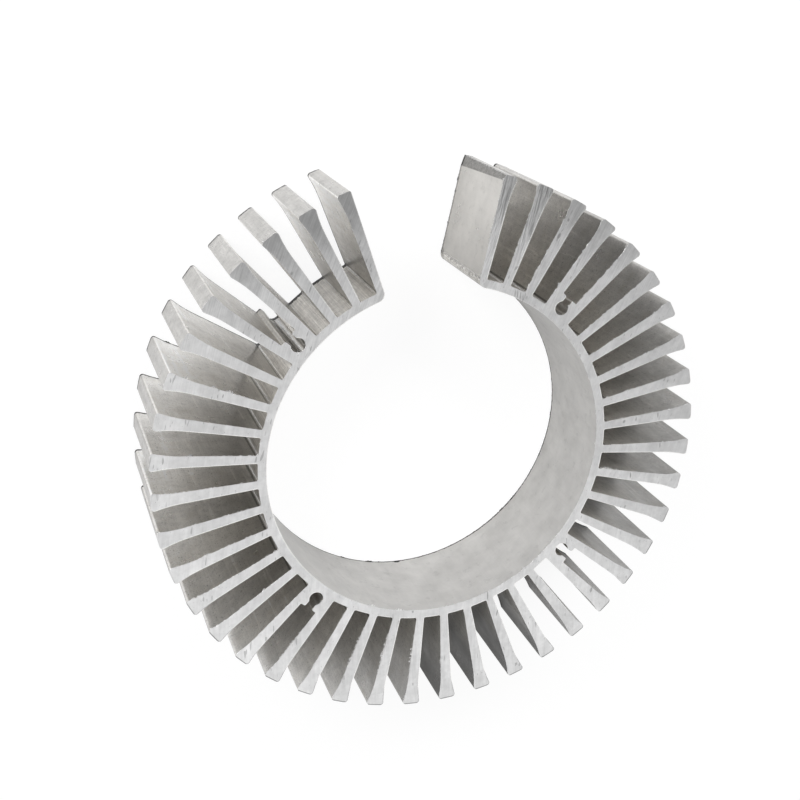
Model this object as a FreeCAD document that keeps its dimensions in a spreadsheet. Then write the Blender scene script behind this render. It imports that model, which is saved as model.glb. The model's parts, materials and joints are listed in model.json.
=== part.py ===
"""Ring heat sink with an open side, cut from one aluminium extrusion.

A thin round wall carries radial fins on its outside. The wall and the fins stop at a gap, so the
section is an open ring. Four slots between fins have a raised floor with a keyhole screw channel.
Millimetres. +Z runs along the extrusion, the part lies on its lower cut face at Z = 0, the origin
is on the bore's axis, and the gap opens towards +Y.
"""
import FreeCAD, Part
import Sketcher
import math
import os
from FreeCAD import Placement, Rotation, Vector

NODE = "heat_sink"

# Driving sizes in millimetres, apart from the counts
SIZES = {
    "bore_diameter": 80.0,
    "wall_thickness": 2.0,
    "outside_diameter": 131.0,
    "cut_length": 26.0,
    # Fins widen outwards a little up to the neck, then flare to a wide tip. The root is measured
    # just above the rounded slot floor, and the tip over its rounded corners.
    "fin_root_thickness": 1.9,
    "fin_neck_thickness": 2.72,
    "fin_flare_length": 6.3,
    "fin_tip_thickness": 4.12,
    "fin_tip_corner": 0.7,
    "slot_floor_corner": 0.4,
    # Screw channels, evenly spaced, each in the middle of a slot. The web is the metal between
    # the bore and a channel, and the shelf's height is measured from the channel's middle.
    "channel_count": 4,
    "pitches_per_channel": 11,
    "channel_diameter": 3.3,
    "channel_web": 2.05,
    "channel_mouth_width": 2.1,
    "channel_mouth_blend": 0.25,
    "channel_lip_corner": 0.4,
    "channel_shelf_height": 2.8,
    "channel_shelf_corner": 0.3,
    # Gap from end fin to end fin, the plain slots between it and the first screw channel, and
    # how far the end fins' flat faces stand off their middles
    "gap_pitches": 4,
    "plain_slots_beside_gap": 3,
    "end_face_offset": 0.7,
    "end_bore_corner": 1.8,
    "end_tip_corner": 0.4,
    # Corner dressed off one end fin, taller at the lower cut face than at the upper one
    "dressed_height_top": 1.3,
    "dressed_height_bottom": 2.6,
    "dressed_depth": 0.4,
}

# Point numbers and fixed geometry of a sketch
START, END, CENTRE = range(1, 4)
ROOT, Y_AXIS = -1, -2

# Two places closer than this are the same place
NEAR = 0.01

doc = FreeCAD.newDocument("ring_heat_sink")


def make_sheet(sizes):
    """Spreadsheet with one named cell for each driving size."""
    table = doc.addObject("Spreadsheet::Sheet", "Sizes")
    for row, (name, value) in enumerate(sizes.items(), start=1):
        table.set(f"A{row}", name)
        table.set(f"B{row}", str(value))
        table.setAlias(f"B{row}", name)
    doc.recompute()
    return table


sheet = make_sheet(SIZES)


def size(name):
    """A driving size, read back from the sheet."""
    return float(getattr(sheet, name))


# Expressions that several features share
FLOOR_RADIUS = "Sizes.bore_diameter / 2 + Sizes.wall_thickness"
MID_WALL_RADIUS = "Sizes.bore_diameter / 2 + Sizes.wall_thickness / 2"
CHANNEL_DISTANCE = "Sizes.bore_diameter / 2 + Sizes.channel_web + Sizes.channel_diameter / 2"
SHELF_DISTANCE = f"{CHANNEL_DISTANCE} + Sizes.channel_shelf_height"
PITCHES = "Sizes.channel_count * Sizes.pitches_per_channel"
PITCH = f"360 / ({PITCHES})"
FIRST_FIN = f"Sizes.gap_pitches / 2 * {PITCH}"
FIRST_CHANNEL = f"{FIRST_FIN} + (Sizes.plain_slots_beside_gap + 0.5) * {PITCH}"
CHANNEL_STEP = f"Sizes.pitches_per_channel * {PITCH}"
END_FACE_LEAN = f"asin(Sizes.end_face_offset / ({FLOOR_RADIUS})) / 1 deg"
HALF_GAP = f"{FIRST_FIN} - {END_FACE_LEAN}"

# The same sizes as numbers, to draw each sketch where its constraints will hold it
bore_radius = size("bore_diameter") / 2
floor_radius = bore_radius + size("wall_thickness")
mid_wall_radius = bore_radius + size("wall_thickness") / 2
outside_radius = size("outside_diameter") / 2
channel_count = int(size("channel_count"))
pitch = 360 / (channel_count * size("pitches_per_channel"))
first_fin = size("gap_pitches") / 2 * pitch
first_channel = first_fin + (size("plain_slots_beside_gap") + 0.5) * pitch
channel_angles = [
    first_channel + step * size("pitches_per_channel") * pitch for step in range(channel_count)
]
channel_radius = size("channel_diameter") / 2
channel_distance = bore_radius + size("channel_web") + channel_radius
half_mouth = size("channel_mouth_width") / 2
shelf_distance = channel_distance + size("channel_shelf_height")
half_gap = first_fin - math.degrees(math.asin(size("end_face_offset") / floor_radius))

body = doc.addObject("PartDesign::Body", "HeatSink")
body.Label = NODE
body.Placement = Placement()


def origin_feature(role):
    """One of the body's own origin planes or axes."""
    return next(feature for feature in body.Origin.OriginFeatures if feature.Role == role)


def new_sketch(name, turn=None, degrees=0.0):
    """A sketch on the lower cut face, turned anticlockwise about the bore's axis if asked."""
    sketch = body.newObject("Sketcher::SketchObject", name)
    sketch.AttachmentSupport = [(origin_feature("XY_Plane"), "")]
    sketch.MapMode = "FlatFace"
    if turn:
        sketch.AttachmentOffset = Placement(Vector(), Rotation(Vector(0, 0, 1), degrees))
        sketch.setExpression("AttachmentOffset.Rotation.Angle", turn)
    return sketch


def draw_line(sketch, start, end):
    """A straight edge of the section; returns its number."""
    return sketch.addGeometry(Part.LineSegment(Vector(*start, 0), Vector(*end, 0)), False)


def draw_arc(sketch, centre, radius, start, end):
    """An arc that runs anticlockwise from one angle to the other; returns its number."""
    circle = Part.Circle(Vector(*centre, 0), Vector(0, 0, 1), radius)
    return sketch.addGeometry(Part.ArcOfCircle(circle, start, end), False)


def draw_circle(sketch, centre, radius):
    """A full circle; returns its number."""
    return sketch.addGeometry(Part.Circle(Vector(*centre, 0), Vector(0, 0, 1), radius), False)


def hold(sketch, kind, *parts):
    """A constraint without a size."""
    sketch.addConstraint(Sketcher.Constraint(kind, *parts))


def measure(sketch, name, kind, parts, value, expression):
    """A constraint whose size follows the sheet."""
    number = sketch.addConstraint(Sketcher.Constraint(kind, *parts, value))
    sketch.renameConstraint(number, name)
    sketch.setExpression(f"Constraints.{name}", expression)


def join_ends(sketch, edges):
    """Join each edge's end to the next one's start, round to the first."""
    for edge, following in zip(edges, edges[1:] + edges[:1]):
        hold(sketch, "Coincident", edge, END, following, START)


volumes = [0.0]


def settle(feature, sense):
    """Recompute, and check that the feature added (1) or cut (-1) material, or either (0)."""
    doc.recompute()
    change = feature.Shape.Volume - volumes[-1]
    if abs(change) < NEAR or change * sense < 0:
        raise RuntimeError(f"{feature.Name} changed the volume by {change:.3f} mm3")
    volumes.append(feature.Shape.Volume)
    return feature


def pad(name, sketch):
    """Extrude a section over the cut length."""
    feature = body.newObject("PartDesign::Pad", name)
    feature.Profile = sketch
    feature.setExpression("Length", "Sizes.cut_length")
    return settle(feature, 1)


def pocket(name, sketch):
    """Cut a section upwards through the whole part."""
    feature = body.newObject("PartDesign::Pocket", name)
    feature.Profile = sketch
    feature.Type = "ThroughAll"
    feature.Reversed = True
    return settle(feature, -1)


def repeat(name, features, sketch, count, step, sense):
    """Copies about the bore's axis, a fixed angle apart."""
    pattern = body.newObject("PartDesign::PolarPattern", name)
    pattern.Originals = features
    pattern.Axis = (sketch, ["N_Axis"])
    pattern.Mode = "Spacing"
    pattern.setExpression("Offset", step)
    pattern.setExpression("Occurrences", count)
    body.Tip = pattern
    return settle(pattern, sense)


def upright_edges(shape, chosen):
    """Names of the edges along Z whose place passes a test."""
    names = []
    for number, edge in enumerate(shape.Edges, start=1):
        if len(edge.Vertexes) == 2:
            low, high = (vertex.Point for vertex in edge.Vertexes)
            if math.hypot(high.x - low.x, high.y - low.y) < NEAR and chosen(low):
                names.append(f"Edge{number}")
    return names


def round_edges(name, chosen, radius):
    """Round the upright edges whose place passes a test."""
    base = body.Tip
    fillet = body.newObject("PartDesign::Fillet", name)
    fillet.Base = (base, upright_edges(base.Shape, chosen))
    fillet.setExpression("Radius", radius)
    return settle(fillet, 0)


def seen_from(point, degrees):
    """Across and along distances of a point, seen on an axis turned anticlockwise from +Y."""
    angle = math.radians(degrees)
    across = point.x * math.cos(angle) + point.y * math.sin(angle)
    along = point.y * math.cos(angle) - point.x * math.sin(angle)
    return across, along


# Round wall between the bore and the slot floors
wall_sketch = new_sketch("WallSection")
bore_circle = draw_circle(wall_sketch, (0, 0), bore_radius)
floor_circle = draw_circle(wall_sketch, (0, 0), floor_radius)
hold(wall_sketch, "Coincident", bore_circle, CENTRE, ROOT, START)
hold(wall_sketch, "Coincident", floor_circle, CENTRE, ROOT, START)
measure(wall_sketch, "bore", "Diameter", (bore_circle,), 2 * bore_radius, "Sizes.bore_diameter")
measure(wall_sketch, "floor", "Radius", (floor_circle,), floor_radius, FLOOR_RADIUS)
wall = pad("Wall", wall_sketch)

# Raised floor of a channel slot, reaching into the fins on both sides
shelf_sketch = new_sketch("ShelfSection", FIRST_CHANNEL, first_channel)
half_shelf = mid_wall_radius * math.sin(math.radians(pitch / 2))
half_shelf_top = shelf_distance * math.tan(math.radians(pitch / 2))
shelf_low = mid_wall_radius * math.cos(math.radians(pitch / 2))
shelf_edges = [
    draw_line(shelf_sketch, (-half_shelf, shelf_low), (half_shelf, shelf_low)),
    draw_line(shelf_sketch, (half_shelf, shelf_low), (half_shelf_top, shelf_distance)),
    draw_line(shelf_sketch, (half_shelf_top, shelf_distance), (-half_shelf_top, shelf_distance)),
    draw_line(shelf_sketch, (-half_shelf_top, shelf_distance), (-half_shelf, shelf_low)),
]
shelf_bottom, shelf_right, shelf_top, shelf_left = shelf_edges
join_ends(shelf_sketch, shelf_edges)
hold(shelf_sketch, "Symmetric", shelf_bottom, START, shelf_bottom, END, Y_AXIS)
hold(shelf_sketch, "Symmetric", shelf_top, START, shelf_top, END, Y_AXIS)
measure(shelf_sketch, "low", "DistanceY", (ROOT, START, shelf_bottom, END), shelf_low,
        f"({MID_WALL_RADIUS}) * cos({PITCH} / 2)")
measure(shelf_sketch, "high", "DistanceY", (ROOT, START, shelf_right, END), shelf_distance,
        SHELF_DISTANCE)
measure(shelf_sketch, "low_width", "DistanceX", (shelf_bottom, START, shelf_bottom, END),
        2 * half_shelf, f"2 * ({MID_WALL_RADIUS}) * sin({PITCH} / 2)")
measure(shelf_sketch, "high_width", "DistanceX", (shelf_top, END, shelf_top, START),
        2 * half_shelf_top, f"2 * ({SHELF_DISTANCE}) * tan({PITCH} / 2)")
shelf = pad("Shelf", shelf_sketch)
repeat("Shelves", [shelf], shelf_sketch, "Sizes.channel_count", CHANNEL_STEP, 1)

# Keyhole screw channel: a round hole and its mouth through the shelf
hole_sketch = new_sketch("ChannelSection", FIRST_CHANNEL, first_channel)
hole_circle = draw_circle(hole_sketch, (0, channel_distance), channel_radius)
hold(hole_sketch, "PointOnObject", hole_circle, CENTRE, Y_AXIS)
measure(hole_sketch, "diameter", "Diameter", (hole_circle,), 2 * channel_radius,
        "Sizes.channel_diameter")
measure(hole_sketch, "distance", "DistanceY", (ROOT, START, hole_circle, CENTRE),
        channel_distance, CHANNEL_DISTANCE)
hole = pocket("Channel", hole_sketch)
repeat("Channels", [hole], hole_sketch, "Sizes.channel_count", CHANNEL_STEP, -1)

mouth_sketch = new_sketch("MouthSection", FIRST_CHANNEL, first_channel)
mouth_top = shelf_distance + channel_radius
mouth_edges = [
    draw_line(mouth_sketch, (-half_mouth, channel_distance), (half_mouth, channel_distance)),
    draw_line(mouth_sketch, (half_mouth, channel_distance), (half_mouth, mouth_top)),
    draw_line(mouth_sketch, (half_mouth, mouth_top), (-half_mouth, mouth_top)),
    draw_line(mouth_sketch, (-half_mouth, mouth_top), (-half_mouth, channel_distance)),
]
mouth_low, mouth_right, mouth_high, mouth_left = mouth_edges
join_ends(mouth_sketch, mouth_edges)
hold(mouth_sketch, "Symmetric", mouth_low, START, mouth_low, END, Y_AXIS)
hold(mouth_sketch, "Vertical", mouth_right)
hold(mouth_sketch, "Vertical", mouth_left)
hold(mouth_sketch, "Horizontal", mouth_high)
measure(mouth_sketch, "width", "DistanceX", (mouth_low, START, mouth_low, END), 2 * half_mouth,
        "Sizes.channel_mouth_width")
measure(mouth_sketch, "low", "DistanceY", (ROOT, START, mouth_low, END), channel_distance,
        CHANNEL_DISTANCE)
measure(mouth_sketch, "high", "DistanceY", (ROOT, START, mouth_right, END), mouth_top,
        f"{SHELF_DISTANCE} + Sizes.channel_diameter / 2")
mouth = pocket("Mouth", mouth_sketch)
repeat("Mouths", [mouth], mouth_sketch, "Sizes.channel_count", CHANNEL_STEP, -1)


def on_channel(point, along, reach):
    """True at that distance along a channel's axis, if the distance across passes a test."""
    for degrees in channel_angles:
        across, place = seen_from(point, degrees)
        if abs(place - along) < NEAR and reach(abs(across)):
            return True
    return False


def is_mouth(across):
    """True at the side of a channel's mouth."""
    return abs(across - half_mouth) < NEAR


def is_slot_side(across):
    """True beyond the mouth's rounded lips, where a shelf meets the fin beside it."""
    return half_mouth + size("channel_lip_corner") + NEAR < across < half_shelf_top


# Rounded mouth of each screw channel
mouth_start = channel_distance + math.sqrt(channel_radius**2 - half_mouth**2)
round_edges("MouthBlends", lambda point: on_channel(point, mouth_start, is_mouth),
            "Sizes.channel_mouth_blend")
round_edges("Lips", lambda point: on_channel(point, shelf_distance, is_mouth),
            "Sizes.channel_lip_corner")

# End fin beside the gap, rooted in the wall, with its die-rounded corners
half_root = size("fin_root_thickness") / 2
half_neck = size("fin_neck_thickness") / 2
neck_height = outside_radius - size("fin_flare_length")
tip_corner = size("fin_tip_corner")
foot_corner = size("slot_floor_corner")

# The side leans outwards, and the foot arc touches both it and the slot floor
lean = math.atan2(half_neck - half_root, neck_height - floor_radius - foot_corner)
foot_x = half_root + foot_corner * math.cos(lean)
foot_y = math.sqrt((floor_radius + foot_corner) ** 2 - foot_x**2)
foot_turn = math.atan2(foot_y, foot_x)

# The flare starts at the neck and runs into the tip arc, which touches the outside circle
tip_x = size("fin_tip_thickness") / 2 - tip_corner
tip_y = math.sqrt((outside_radius - tip_corner) ** 2 - tip_x**2)
sideways = (half_neck - tip_x) * math.cos(lean) - (neck_height - tip_y) * math.sin(lean)
reach = math.hypot(half_neck - tip_x, neck_height - tip_y)
flare_radius = (reach**2 - tip_corner**2) / (2 * (tip_corner - sideways))
flare_x = half_neck + flare_radius * math.cos(lean)
flare_y = neck_height - flare_radius * math.sin(lean)
flare_turn = math.atan2(tip_y - flare_y, tip_x - flare_x)
tip_turn = math.atan2(tip_y, tip_x)


def draw_half(sketch, way):
    """Edges from inside the wall out to the crown, on the right (1) or the left (-1)."""

    def line(start, end):
        return draw_line(sketch, (way * start[0], start[1]), (way * end[0], end[1]))

    def arc(x, y, radius, start, end):
        turns = (start, end) if way == 1 else (math.pi - end, math.pi - start)
        return draw_arc(sketch, (way * x, y), radius, *turns)

    return [
        line((mid_wall_radius / math.tan(foot_turn), mid_wall_radius),
             (floor_radius * math.cos(foot_turn), floor_radius * math.sin(foot_turn))),
        arc(foot_x, foot_y, foot_corner, math.pi - lean, math.pi + foot_turn),
        line((foot_x - foot_corner * math.cos(lean), foot_y + foot_corner * math.sin(lean)),
             (half_neck, neck_height)),
        arc(flare_x, flare_y, flare_radius, flare_turn, math.pi - lean),
        arc(tip_x, tip_y, tip_corner, flare_turn - math.pi, tip_turn),
    ]


fin_sketch = new_sketch("FinSection", FIRST_FIN, first_fin)
right_half = draw_half(fin_sketch, 1)
left_half = draw_half(fin_sketch, -1)
skirt, foot, side, flare, tip = right_half
left_skirt, left_foot, left_side, left_flare, left_tip = left_half
crown = draw_arc(fin_sketch, (0, 0), outside_radius, tip_turn, math.pi - tip_turn)
bottom = draw_line(fin_sketch, (-mid_wall_radius / math.tan(foot_turn), mid_wall_radius),
                   (mid_wall_radius / math.tan(foot_turn), mid_wall_radius))
slot_floor = draw_circle(fin_sketch, (0, 0), floor_radius)
fin_sketch.toggleConstruction(slot_floor)
hold(fin_sketch, "Coincident", slot_floor, CENTRE, ROOT, START)
hold(fin_sketch, "Coincident", crown, CENTRE, ROOT, START)
hold(fin_sketch, "Horizontal", bottom)
hold(fin_sketch, "Coincident", bottom, END, skirt, START)
hold(fin_sketch, "Coincident", bottom, START, left_skirt, START)
for first, last, edges in ((START, END, right_half), (END, START, left_half)):
    for edge, edge_end, following, start in (
        (1, first, 2, START), (2, END, 3, last), (3, first, 4, first)
    ):
        hold(fin_sketch, "Tangent", edges[edge], edge_end, edges[following], start)
    hold(fin_sketch, "Tangent", edges[4], last, crown, first)
    hold(fin_sketch, "Tangent", edges[1], last, slot_floor)
    hold(fin_sketch, "Coincident", edges[0], END, edges[1], last)
    hold(fin_sketch, "PointOnObject", ROOT, START, edges[0])
hold(fin_sketch, "Symmetric", side, START, left_side, START, Y_AXIS)
hold(fin_sketch, "Symmetric", side, END, left_side, END, Y_AXIS)
hold(fin_sketch, "Symmetric", tip, CENTRE, left_tip, CENTRE, Y_AXIS)
measure(fin_sketch, "floor", "Radius", (slot_floor,), floor_radius, FLOOR_RADIUS)
measure(fin_sketch, "outside", "Radius", (crown,), outside_radius, "Sizes.outside_diameter / 2")
measure(fin_sketch, "sunk", "DistanceY", (ROOT, START, skirt, START), mid_wall_radius,
        MID_WALL_RADIUS)
measure(fin_sketch, "foot", "Radius", (foot,), foot_corner, "Sizes.slot_floor_corner")
measure(fin_sketch, "root", "DistanceX", (left_side, START, side, START), 2 * half_root,
        "Sizes.fin_root_thickness")
measure(fin_sketch, "neck", "DistanceX", (left_side, END, side, END), 2 * half_neck,
        "Sizes.fin_neck_thickness")
measure(fin_sketch, "neck_height", "DistanceY", (ROOT, START, side, END), neck_height,
        "Sizes.outside_diameter / 2 - Sizes.fin_flare_length")
measure(fin_sketch, "tip_corner", "Radius", (tip,), tip_corner, "Sizes.fin_tip_corner")
measure(fin_sketch, "tip", "DistanceX", (left_tip, CENTRE, tip, CENTRE), 2 * tip_x,
        "Sizes.fin_tip_thickness - 2 * Sizes.fin_tip_corner")
fin = pad("Fin", fin_sketch)
repeat("Fins", [fin], fin_sketch, f"{PITCHES} - Sizes.gap_pitches + 1", PITCH, 1)

# Gap: a wedge from the bore's axis opens the wall and leaves a flat face on each end fin
gap_sketch = new_sketch("GapSection")
gap_reach = outside_radius + size("wall_thickness")
gap_width = gap_reach * math.tan(math.radians(half_gap))
gap_edges = [
    draw_line(gap_sketch, (0, 0), (gap_width, gap_reach)),
    draw_line(gap_sketch, (gap_width, gap_reach), (-gap_width, gap_reach)),
    draw_line(gap_sketch, (-gap_width, gap_reach), (0, 0)),
]
gap_right, gap_far, gap_left = gap_edges
join_ends(gap_sketch, gap_edges)
hold(gap_sketch, "Coincident", gap_right, START, ROOT, START)
hold(gap_sketch, "Symmetric", gap_far, START, gap_far, END, Y_AXIS)
measure(gap_sketch, "reach", "DistanceY", (ROOT, START, gap_right, END), gap_reach,
        "Sizes.outside_diameter / 2 + Sizes.wall_thickness")
measure(gap_sketch, "width", "DistanceX", (gap_far, END, gap_far, START), 2 * gap_width,
        f"2 * (Sizes.outside_diameter / 2 + Sizes.wall_thickness) * tan({HALF_GAP})")
gap = pocket("Gap", gap_sketch)


def at_end_face(point):
    """True on the flat face of either end fin."""
    off_gap = math.radians(abs(math.degrees(math.atan2(point.x, point.y))) - half_gap)
    return abs(off_gap) * math.hypot(point.x, point.y) < NEAR


# Corners beside the raised floors, and those of the end fins
round_edges("ShelfCorners", lambda point: on_channel(point, shelf_distance, is_slot_side),
            "Sizes.channel_shelf_corner")
round_edges("EndBoreCorners", lambda point: at_end_face(point)
            and math.hypot(point.x, point.y) < mid_wall_radius, "Sizes.end_bore_corner")
round_edges("EndTipCorners", lambda point: at_end_face(point)
            and math.hypot(point.x, point.y) > neck_height, "Sizes.end_tip_corner")

# Dressed corner: a slanting cut between a small triangle at one cut face and a larger one
def dressed_section(name, height_name, lift):
    """Triangle off the gap side of one end fin's tip, on an axis along that fin's flat face."""
    sketch = new_sketch(name, f"-({HALF_GAP})", -half_gap)
    if lift:
        sketch.setExpression("AttachmentOffset.Base.z", lift)
    height = size(height_name)
    depth = size("dressed_depth")
    edges = [
        draw_line(sketch, (0, outside_radius - height), (depth, outside_radius)),
        draw_line(sketch, (depth, outside_radius), (-depth, outside_radius)),
        draw_line(sketch, (-depth, outside_radius), (0, outside_radius - height)),
    ]
    slant, top, outer = edges
    join_ends(sketch, edges)
    hold(sketch, "PointOnObject", slant, START, Y_AXIS)
    hold(sketch, "Symmetric", top, START, top, END, Y_AXIS)
    measure(sketch, "reach", "DistanceY", (ROOT, START, slant, END), outside_radius,
            "Sizes.outside_diameter / 2")
    measure(sketch, "height", "DistanceY", (slant, START, slant, END), height,
            f"Sizes.{height_name}")
    measure(sketch, "depth", "DistanceX", (top, END, top, START), 2 * depth,
            "2 * Sizes.dressed_depth")
    return sketch


lower_triangle = dressed_section("DressedLower", "dressed_height_bottom", None)
upper_triangle = dressed_section("DressedUpper", "dressed_height_top", "Sizes.cut_length")
dressed = body.newObject("PartDesign::SubtractiveLoft", "DressedCorner")
dressed.Profile = lower_triangle
dressed.Sections = [upper_triangle]
dressed.Ruled = True
settle(dressed, -1)


def check_and_export():
    """Stop on any failed object or bad shape, then write the part."""
    doc.recompute()
    for item in doc.Objects:
        if {"Invalid", "Error"} & set(item.State):
            raise RuntimeError(f"{item.Name} failed: {item.State}")
    shape = body.Shape
    if shape.isNull() or not shape.isValid():
        raise RuntimeError("the heat sink's shape isn't valid")
    if len(shape.Solids) != 1:
        raise RuntimeError(f"the heat sink is {len(shape.Solids)} solids, not one")
    os.makedirs("parts", exist_ok=True)
    shape.exportStep(os.path.join("parts", f"{body.Label}.step"))
    box = shape.BoundBox
    print(f"{body.Label}: {shape.Volume:.1f} mm3, {len(shape.Faces)} faces,"
          f" {box.XLength:.2f} x {box.YLength:.2f} x {box.ZLength:.2f} mm")


check_and_export()
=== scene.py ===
"""Looks of the ring heat sink: a sawn slice of mill-finish aluminium extrusion on a pale floor."""
import json
import math

import bmesh
import bpy
from bpy.props import FloatProperty, FloatVectorProperty, PointerProperty
from mathutils import Euler, Matrix, Vector, noise


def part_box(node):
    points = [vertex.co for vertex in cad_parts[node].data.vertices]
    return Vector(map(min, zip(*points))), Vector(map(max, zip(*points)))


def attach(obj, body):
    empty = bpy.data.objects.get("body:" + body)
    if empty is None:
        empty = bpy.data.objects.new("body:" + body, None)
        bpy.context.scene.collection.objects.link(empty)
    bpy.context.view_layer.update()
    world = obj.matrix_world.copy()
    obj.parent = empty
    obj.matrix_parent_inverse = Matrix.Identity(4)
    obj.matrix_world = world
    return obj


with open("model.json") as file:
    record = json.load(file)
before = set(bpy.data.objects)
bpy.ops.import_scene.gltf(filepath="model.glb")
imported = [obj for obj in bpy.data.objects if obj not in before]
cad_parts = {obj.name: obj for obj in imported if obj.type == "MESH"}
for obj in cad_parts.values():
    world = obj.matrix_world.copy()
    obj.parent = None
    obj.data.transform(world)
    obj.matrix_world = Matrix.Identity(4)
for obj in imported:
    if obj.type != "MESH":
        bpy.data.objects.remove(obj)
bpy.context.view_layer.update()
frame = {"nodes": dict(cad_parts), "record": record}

bl_info = {
    "name": "Ring heat sink looks",
    "version": (1, 0, 0),
    "blender": (4, 5, 0),
    "location": "3D View > Sidebar > Heat Sink",
    "description": "Finishes a sawn ring heat sink and sets up its studio",
    "category": "Object",
}

NODE = "heat_sink"
BODY = "root"
MM = 0.001

# Places on the part, read from the frame's record
MOUNTS = {mount["name"]: mount for mount in frame["record"]["mounts"]}
BORE_RADIUS = MOUNTS["bore"]["dims"]["r_mm"] * MM
CUT_LENGTH = MOUNTS["bore"]["dims"]["length_mm"] * MM
OUTSIDE_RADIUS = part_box(NODE)[1].x
# Room between the added pieces and the part's box
BOX_MARGIN = 0.004 * MM

# The die's fin spacing, the end fins' places in it, and the wall between bore and slots
PITCH_COUNT = 44
GAP_PITCHES = 4
WALL_THICKNESS = 2.0 * MM
PITCH = math.tau / PITCH_COUNT
END_FIN_ANGLE = GAP_PITCHES / 2 * PITCH
FLOOR_RADIUS = BORE_RADIUS + WALL_THICKNESS
# Rounded corner between an end face and the bore
BORE_CORNER = 1.8 * MM
# Corner dressed off one end fin, by its height at the lower and upper cut faces
DRESSED_LOWER = 2.6 * MM
DRESSED_UPPER = 1.3 * MM

# Places where the saw left more torn metal than usual: X, Y and spread in mm, then how much more
TORN_PLACES = (
    (15.6, 57.7, 1.2, 0.5),
    (42.6, -11.4, 2.2, 1.4),
    (45.2, -12.3, 1.0, 0.5),
    (20.7, -34.4, 1.5, 0.5),
    (11.2, -38.3, 1.0, 0.5),
    (26.9, -29.6, 3.5, 0.6),
    (-17.7, -35.8, 1.4, 1.3),
    (-10.9, -38.4, 1.4, 1.4),
    (-8.2, -38.8, 0.9, 0.6),
    (-14.5, -44.8, 1.6, 0.5),
    (-15.3, -47.7, 1.8, 0.5),
    (-16.1, -50.6, 1.8, 0.5),
    (-16.9, -53.4, 1.4, 0.4),
    (-8.7, -50.6, 1.3, 0.6),
    (-9.1, -53.9, 1.2, 0.4),
    (-22.6, -46.5, 1.4, 0.6),
    (-15.4, -49.0, 6.5, 0.9),
    (-8.9, -52.0, 5.5, 0.8),
    (-22.4, -46.0, 6.0, 0.7),
    (26.9, 45.1, 0.9, 1.0),
    (32.9, 40.2, 0.9, 0.8),
    (34.4, 43.3, 1.3, 0.5),
    (-55.4, 26.8, 0.9, 1.9),
    (-49.7, 23.8, 0.9, 1.6),
    (-46.5, 22.3, 0.9, 1.9),
    (-56.3, 9.2, 0.9, 1.6),
    (47.5, 0.3, 1.0, 0.6),
    (55.1, -13.9, 0.9, 0.9),
    (58.9, -25.1, 0.9, 0.7),
)
# Distance between the steps that the saw's teeth leave along an edge, in mm
TOOTH_STEP = 0.95
# An edge that is torn less than this has no burr
LEAST_TORN = 0.09
# How far a burr's free edge droops and its root is sunk at most, and how little both may be
DROOP = 0.16 * MM
SINK = 0.12 * MM
LEAST_DEPTH = 0.01 * MM
# How far a burr's root reaches into the metal, in mm
ROOT_OVERLAP = 0.05
# Pieces of burr: name, height of the cut, way into the metal and share of the full reach
BURR_PIECES = (
    ("upper_saw_burrs", CUT_LENGTH, -1.0, 1.0),
    ("lower_saw_burrs", 0.0, 1.0, 0.35),
)

# Marks are given by X, Y, length and width in mm, and the way they run in degrees
# Thick dirt and painted shade in a nick of the bore's lower edge
LOWER_NICK = (-3.7, -40.2, 1.9, 1.9, 0)
# Painted shade on the fin sides towards the tips at the lower side
LOWER_TIPS_PAINTED_SHADE = (12.0, -64.0, 52.0, 26.0, 10)
# Painted light on the fin sides by both end fins, and painted shade deep in the slots at the upper
# right
LEFT_END_PAINTED_LIGHT = (-19.0, 56.0, 32.0, 22.0, 106)
RIGHT_END_PAINTED_LIGHT = (25.5, 57.5, 40.0, 10.0, -25)
UPPER_RIGHT_PAINTED_SHADE = (29.0, 42.0, 50.0, 34.0, -50)
# Single dark marks on the upper cut face
MARKS = (
    (-49.0, 22.0, 1.0, 0.28, 79),
    (-47.9, 21.9, 1.0, 0.28, 75),
    (11.3, -39.4, 2.7, 0.37, 89),
    (49.3, -14.3, 1.7, 0.44, 89),
    (50.5, 0.3, 1.3, 0.33, 86),
    (56.4, 0.4, 1.6, 0.33, 90),
    (57.2, -7.7, 1.6, 0.28, 90),
    (47.3, 0.2, 1.0, 0.65, 57),
    (39.0, -43.9, 1.6, 0.62, 75),
    (13.7, -44.6, 2.1, 0.35, 74),
    (21.5, -33.5, 1.7, 0.59, 57),
    (24.1, -31.8, 1.5, 0.43, 33),
    (19.4, 35.8, 2.3, 0.22, 85),
    (20.0, 35.5, 2.5, 0.20, 83),
    (20.7, 35.2, 2.3, 0.22, 83),
    (21.3, 34.6, 2.1, 0.20, 85),
    (-7.8, -39.5, 0.8, 0.51, 88),
    (30.2, 48.0, 1.6, 0.84, 57),
    (32.5, 51.4, 0.9, 0.59, 79),
    (-61.9, 9.3, 1.8, 0.42, 82),
    (-27.4, 43.0, 1.9, 0.35, 68),
    (-16.1, 51.7, 1.9, 0.29, 66),
    (-17.5, 52.8, 1.5, 0.26, 66),
    (-31.2, 46.9, 0.9, 0.52, 66),
    (-17.9, 56.5, 1.7, 0.35, 64),
)

# Way to which the saw rolled the edges over; those edges get a painted highlight or shade, and the
# painted light deep in the slots grows along it
ROLLED_WAY = (0.75, -0.66, 0.0)
# Way along which the painted light on the fin sides near the tips turns to painted shade
PAINTED_LIGHT_WAY = (0.95, -0.3, 0.0)
# Distance from the bore's axis at which the looks stop changing along both ways
FULL_CHANGE = 60 * MM
# How the deep streaks on the rough fins run
ROUGH_DIRECTION = math.radians(74)
# Side of the floor that the lamps stand on, where the floor is painted to glow brighter in
# reflections
GLOW_SIDE = (-0.75, 0.66, 0.0)

# Share of white light that the floor gives off to the camera, and as metal mirrors it: least, most
CAMERA_SHARE = 0.85
MIRRORED_SHARES = (0.02, 0.45)
FLOOR_GLOW = 1.06
FLOOR_DROP = 0.02 * MM
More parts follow.
